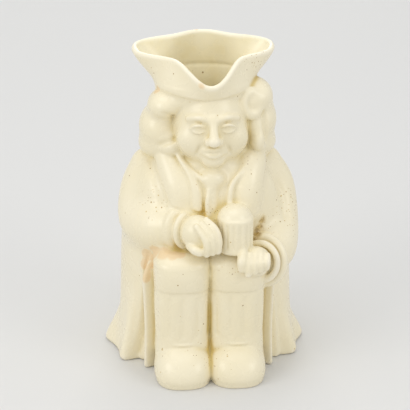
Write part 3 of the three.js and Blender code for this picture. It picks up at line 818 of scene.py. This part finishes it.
def makeFluteTree():
    # pushes a surface out and in round an upright axis, on its front only
    tree = bpy.data.node_groups.new("flutes", "GeometryNodeTree")
    socketIn(tree, "Geometry", "NodeSocketGeometry")
    for name in ("Middle X", "Middle Y", "Count", "Depth", "Bottom", "Top", "Nearest", "Furthest", "Turn", "Fade"):
        socketIn(tree, name, "NodeSocketFloat")
    socketIn(tree, "Material", "NodeSocketMaterial")
    tree.interface.new_socket("Geometry", in_out="OUTPUT", socket_type="NodeSocketGeometry")
    given = tree.nodes.new("NodeGroupInput").outputs
    do = sums(tree)
    position = tree.nodes.new("GeometryNodeInputPosition").outputs[0]
    place = addNode(tree, "ShaderNodeSeparateXYZ", {0: position}).outputs
    dx, dy = do("SUBTRACT", place[0], given["Middle X"]), do("SUBTRACT", place[1], given["Middle Y"])
    away = do("SQRT", do("ADD", do("MULTIPLY", dx, dx), do("MULTIPLY", dy, dy)))
    angle = do("ADD", do("ARCTAN2", dx, do("MULTIPLY", dy, -1.0)), given["Turn"])
    wave = do("ABSOLUTE", do("COSINE", do("MULTIPLY", angle, do("DIVIDE", given["Count"], 2.0))))
    fade = given["Fade"]
    inHeight = do("MULTIPLY", ease(tree, place[2], given["Bottom"], do("ADD", given["Bottom"], fade)),
                  ease(tree, place[2], do("SUBTRACT", given["Top"], fade), given["Top"], 1.0, 0.0))
    inReach = do("MULTIPLY", ease(tree, away, given["Nearest"], do("ADD", given["Nearest"], 0.6)),
                 ease(tree, away, do("SUBTRACT", given["Furthest"], 0.6), given["Furthest"], 1.0, 0.0))
    inFront = ease(tree, do("DIVIDE", do("MULTIPLY", dy, -1.0), away), -0.1, 0.3)
    push = do("MULTIPLY", do("MULTIPLY", do("MULTIPLY", inHeight, inReach), inFront),
              do("MULTIPLY", do("SUBTRACT", wave, 0.7), given["Depth"]))
    outward = addNode(tree, "ShaderNodeCombineXYZ", {0: do("DIVIDE", dx, away), 1: do("DIVIDE", dy, away)})
    offset = addNode(tree, "ShaderNodeVectorMath", {0: outward.outputs[0]}, operation="SCALE")
    tree.links.new(push, offset.inputs["Scale"])
    moved = addNode(tree, "GeometryNodeSetPosition", {"Geometry": given["Geometry"], "Offset": offset.outputs[0]})
    real = addNode(tree, "GeometryNodeRealizeInstances", {"Geometry": moved.outputs[0]})
    dressed = addNode(tree, "GeometryNodeSetMaterial", {"Geometry": real.outputs[0], "Material": given["Material"]})
    addNode(tree, "NodeGroupOutput", {0: dressed.outputs[0]})
    return tree


def addFlutes(piece, tree, material, sizes):
    (x, y), count, depth, bottom, top, nearest, furthest, turn = sizes
    modifier = piece.modifiers.new("flutes", "NODES")
    modifier.node_group = tree
    given = {
        "Middle X": float(x), "Middle Y": float(y), "Count": float(count), "Depth": depth, "Bottom": bottom,
        "Top": top, "Nearest": nearest, "Furthest": furthest, "Turn": math.radians(turn), "Fade": 3.0,
        "Material": material,
    }
    for socket in tree.interface.items_tree:
        if socket.in_out == "INPUT" and socket.name in given:
            modifier[socket.identifier] = given[socket.name]


glaze = {
    "cream": (0.90, 0.815, 0.60), "honey": (0.79, 0.66, 0.31), "pale": (0.93, 0.86, 0.70),
    # inner is painted light: a lighter cream for the inside of the hollow, where little light reaches
    "inner": (0.96, 0.885, 0.655), "clay": (0.88, 0.67, 0.40), "amber": (0.60, 0.385, 0.045),
    "rust": (0.22, 0.11, 0.006), "roughness": 0.27, "bareRoughness": 0.4,
    # the grain of each pattern
    "scale": {"broad": 20.0, "middling": 75.0, "fine": 420.0, "dots": 560.0, "stain": 260.0, "bare": 140.0,
              "bump": 60.0},
    # the crevice values between which creases, pools and edges take their colour
    "creases": (0.54, 0.80), "poolCreases": (0.48, 0.66), "edges": (0.37, 0.22),
    # how much of the layer below each layer hides
    "cover": {"creases": 0.45, "mottle": 0.16, "pools": 0.7, "edges": 0.6, "dots": 0.8, "amber": 0.7, "rust": 0.65,
              "bare": 0.85},
    # how ragged and how soft the edges of the spots are, in mm
    "outline": {"pooled": (10, 5), "specked": (8, 4), "amber": (5, 3.2), "rust": (6, 1.2), "bare": (5.5, 1.3)},
    # where the glaze has come away or never took: place and reach
    "bare": [
        ((-42, -40, 85.5), 5.2), ((-37, -42, 88), 5.0), ((-31, -47, 89.5), 5.4), ((-25, -52, 90.5), 5.0),
        ((-20.5, -55, 91), 3.4), ((-43.5, -39.5, 79), 4.8), ((-44, -38.5, 73), 4.2), ((-43, -38.5, 67.5), 3.0),
        ((-40.3, -42, 84.5), 3.8), ((-39.8, -42, 78.6), 3.2), ((-32.5, -15, 195.5), 3.6),
        ((-5.5, -44.5, 207.5), 1.5), ((-4, 26, 226), 1.2),
    ],
    # where iron specks gather: place and reach
    "specked": [
        ((54, -26, 112), 13), ((55, -20, 96), 8), ((45, -36, 104), 7), ((-38, -34, 121), 11), ((8.5, -48, 124), 5),
        ((15, -67, 86), 5), ((2, -48, 119), 6), ((10, -66, 88), 6), ((-8, -66, 20), 9), ((6, -66, 20), 8),
        ((64, -6, 22), 9), ((27, -36, 150), 3.5), ((-44, -38, 69), 3), ((30, -6, 216), 14),
    ],
    # brown staining in the deepest crevice
    "stained": [((36, -41, 109), 2.4), ((34.6, -43, 105), 3.0), ((32.6, -46, 101.5), 3.0), ((29.6, -51, 99.4), 2.4),
                ((-43.1, -39, 67.5), 0.7)],
    # yellow pooling: place and reach
    "pooled": [((-0.7, -62, 18), 12), ((-0.7, -60, 45), 12), ((9, -50, 122), 8), ((30, -8, 214), 22),
               ((0, -72, 97), 7), ((-2, -52, 119), 8), ((44, -50, 92), 7), ((-22, -52, 93), 7)],
}


def makeGlaze(clay):
    material = bpy.data.materials.new("creamGlaze")
    material.use_nodes = True
    tree = material.node_tree
    shader = tree.nodes["Principled BSDF"]
    do = sums(tree)
    place = tree.nodes.new("ShaderNodeTexCoord").outputs["Object"]
    crevice = addNode(tree, "ShaderNodeAttribute", {}, attribute_name="crevice").outputs["Fac"]
    indoors = addNode(tree, "ShaderNodeAttribute", {}, attribute_name="indoors").outputs["Fac"]

    def noise(name, detail=3.0):
        sizes = {"Vector": place, "Scale": glaze["scale"][name], "Detail": detail, "Roughness": 0.55}
        return addNode(tree, "ShaderNodeTexNoise", sizes).outputs["Fac"]

    def blot(spots, outline, wander):
        # one where any spot reaches, with a ragged edge
        best = None
        ragged, soft = glaze["outline"][outline]
        drift = do("MULTIPLY", do("SUBTRACT", wander, 0.5), ragged * mm)
        for x, y, z, reach in clay.drape([(*spot, reach) for spot, reach in glaze[spots]]):
            centre = ((x + shiftX) * mm, (y + shiftY) * mm, z * mm)
            gap = addNode(tree, "ShaderNodeVectorMath", {0: place, 1: centre}, operation="DISTANCE").outputs["Value"]
            share = ease(tree, do("ADD", gap, drift), (reach - soft) * mm, (reach + soft) * mm, 1.0, 0.0)
            best = share if best is None else do("MAXIMUM", best, share)
        return best

    def blend(share, under, over):
        mix = addNode(tree, "ShaderNodeMix", {0: share}, data_type="RGBA")
        for socket, value in ((mix.inputs[6], under), (mix.inputs[7], over)):
            if isinstance(value, bpy.types.NodeSocket):
                tree.links.new(value, socket)
            else:
                socket.default_value = (*value, 1)
        return mix.outputs[2]

    cover = glaze["cover"]
    broad, middling, fine = noise("broad"), noise("middling"), noise("fine", 2.0)
    creases, edges = ease(tree, crevice, *glaze["creases"]), ease(tree, crevice, *glaze["edges"])
    pools = do("MULTIPLY", blot("pooled", "pooled", broad), ease(tree, crevice, *glaze["poolCreases"]))
    honey = do("ADD", do("MULTIPLY", creases, cover["creases"]),
               do("MULTIPLY", ease(tree, broad, 0.35, 0.75), cover["mottle"]))
    # the inside is painted lighter, as painted light in the hollow where little light reaches: it takes little of
    # this and has a mottling of its own
    honey = do("MULTIPLY", honey, do("SUBTRACT", 1.0, do("MULTIPLY", indoors, 0.7)))
    honey = do("ADD", honey, do("MULTIPLY", indoors, ease(tree, middling, 0.4, 0.7, 0.05, 0.3)))
    honey = do("MINIMUM", do("ADD", honey, do("MULTIPLY", pools, cover["pools"])), 1.0)
    # inside the hollow the cream gives way to the lighter inner colour, painted light where little light reaches
    colour = blend(honey, blend(indoors, glaze["cream"], glaze["inner"]), glaze["honey"])
    colour = blend(do("MULTIPLY", pools, ease(tree, middling, 0.4, 0.7, 0.1, 0.5)), colour, glaze["amber"])
    colour = blend(do("MULTIPLY", edges, cover["edges"]), colour, glaze["pale"])

    # one dot to a cell: most cells near an iron spot have one, and a few elsewhere
    cells = addNode(tree, "ShaderNodeTexVoronoi", {"Vector": place, "Scale": glaze["scale"]["dots"]})
    lots = addNode(tree, "ShaderNodeSeparateColor", {0: cells.outputs["Color"]}).outputs
    picked = do("MULTIPLY", ease(tree, lots[0], 0.55, 0.65), blot("specked", "specked", middling))
    picked = do("MAXIMUM", picked, ease(tree, lots[0], 0.985, 0.99))
    size = do("MULTIPLY", cells.outputs["Distance"], do("SUBTRACT", 1.7, lots[2]))
    dots = do("MULTIPLY", ease(tree, size, 0.16, 0.34, 1.0, 0.0), picked)
    colour = blend(do("MULTIPLY", dots, cover["dots"]), colour, blend(lots[1], glaze["amber"], glaze["rust"]))

    # a wide amber stain under a narrower one of rust
    colour = blend(do("MULTIPLY", blot("stained", "amber", noise("stain")), cover["amber"]), colour, glaze["amber"])
    stain = blot("stained", "rust", noise("stain"))
    colour = blend(do("MULTIPLY", stain, ease(tree, fine, 0.3, 0.65, 0.0, cover["rust"])), colour, glaze["rust"])
    bare = blot("bare", "bare", noise("bare"))
    body = blend(middling, glaze["clay"], tuple(0.93 * value for value in glaze["clay"]))
    colour = blend(do("MULTIPLY", bare, cover["bare"]), colour, body)
    tree.links.new(colour, shader.inputs["Base Color"])

    rough = do("ADD", glaze["roughness"], do("MULTIPLY", do("SUBTRACT", middling, 0.5), 0.12))
    rough = do("ADD", rough, do("MULTIPLY", bare, glaze["bareRoughness"]))
    tree.links.new(rough, shader.inputs["Roughness"])
    shader.inputs["IOR"].default_value = 1.5
    height = do("SUBTRACT", noise("bump", 1.5), do("MULTIPLY", bare, 0.5))
    bump = addNode(tree, "ShaderNodeBump", {"Height": height, "Distance": 0.25 * mm, "Strength": 0.35})
    tree.links.new(bump.outputs[0], shader.inputs["Normal"])
    return material


def settle(piece):
    # the modifiers' result as a plain mesh
    made = bpy.data.meshes.new_from_object(piece.evaluated_get(bpy.context.evaluated_depsgraph_get()))
    piece.modifiers.clear()
    piece.data = made
    made.shade_smooth()


def dropBubbles(mesh):
    # keeps the one large skin and drops the tiny bubbles sealed inside the clay
    skin = bmesh.new()
    skin.from_mesh(mesh)
    left, islands = set(skin.verts), []
    while left:
        start = left.pop()
        island, queue = {start}, [start]
        while queue:
            for edge in queue.pop().link_edges:
                for corner in edge.verts:
                    if corner not in island:
                        island.add(corner)
                        queue.append(corner)
        left -= island
        islands.append(island)
    islands.sort(key=len)
    for island in islands[:-1]:
        bmesh.ops.delete(skin, geom=list(island), context="VERTS")
    skin.to_mesh(mesh)
    skin.free()


# how far a crevice is felt for, and how near the hollow counts as indoors
surface = {"creviceReach": 2.2, "indoors": (0.6, 2.4)}


def blurred(solid, reach):
    # three passes of a running mean along each axis
    for axis in (0, 1, 2) * 3:
        total = np.cumsum(np.moveaxis(solid, axis, 0), axis=0, dtype=np.float64)
        ahead = np.concatenate([total[reach:], np.repeat(total[-1:], reach, axis=0)])
        behind = np.concatenate([np.zeros_like(total[:reach + 1]), total[:-reach - 1]])
        solid = np.moveaxis(((ahead - behind) / (2 * reach + 1)).astype(np.float32), 0, axis)
    return solid


def noteSurface(mesh, clay):
    # how deep each point lies in a crevice, and whether it is inside the vessel
    places = np.empty(len(mesh.vertices) * 3, np.float32)
    mesh.vertices.foreach_get("co", places)
    x, y, z = places.reshape(-1, 3).T
    reach = max(1, round(surface["creviceReach"] / clay.grain))
    solid = blurred(np.clip(0.5 - clay.field / clay.grain, 0, 1), reach)
    cells = [np.clip((value - clay.low[k]) / clay.grain, 0, solid.shape[k] - 1.01)
             for k, value in enumerate((x, y, z))]
    first = [cell.astype(int) for cell in cells]
    share = [cell - start for cell, start in zip(cells, first)]
    crevice = np.zeros(len(x), np.float32)
    for corner in range(8):
        step = [corner & 1, corner >> 1 & 1, corner >> 2]
        weight = np.prod([share[k] if step[k] else 1 - share[k] for k in range(3)], axis=0)
        crevice += weight * solid[tuple(first[k] + step[k] for k in range(3))]
    inside = np.zeros(len(x), np.float32)
    for shape in insides():
        inside = np.maximum(inside, 1 - easeStep(shape[2](x, y, z), *surface["indoors"]))
    for name, values in (("crevice", crevice), ("indoors", inside)):
        mesh.attributes.new(name, "FLOAT", "POINT").data.foreach_set("value", values.astype(np.float32))


def makeJug():
    clay = sculpt()
    points, triangles, quads = clay.polygons()
    mesh = bpy.data.meshes.new("tobyJug")
    mesh.from_pydata(points.tolist(), [], quads.tolist() + triangles.tolist())
    jug = bpy.data.objects.new("tobyJug", mesh)
    bpy.context.scene.collection.objects.link(jug)
    material = makeGlaze(clay)
    mesh.materials.append(material)
    print("clay has", len(mesh.polygons), "faces")
    tree = makeFluteTree()
    for name in fluted:
        addFlutes(jug, tree, material, fluted[name])
    settle(jug)
    facets = len(triangles) + 2 * len(quads)
    if facets > block["mostFacets"]:
        thin = jug.modifiers.new("thin", "DECIMATE")
        thin.ratio = block["mostFacets"] / facets
        settle(jug)
    dropBubbles(jug.data)
    noteSurface(jug.data, clay)
    jug.data.transform(Matrix.Translation((shiftX * mm, shiftY * mm, 0)) @ Matrix.Scale(mm, 4))
    print("jug has", len(jug.data.polygons), "faces")
    return jug


makeCamera()
makeStudio()
jug = makeJug()
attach(jug, "root")
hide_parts("toby_jug")
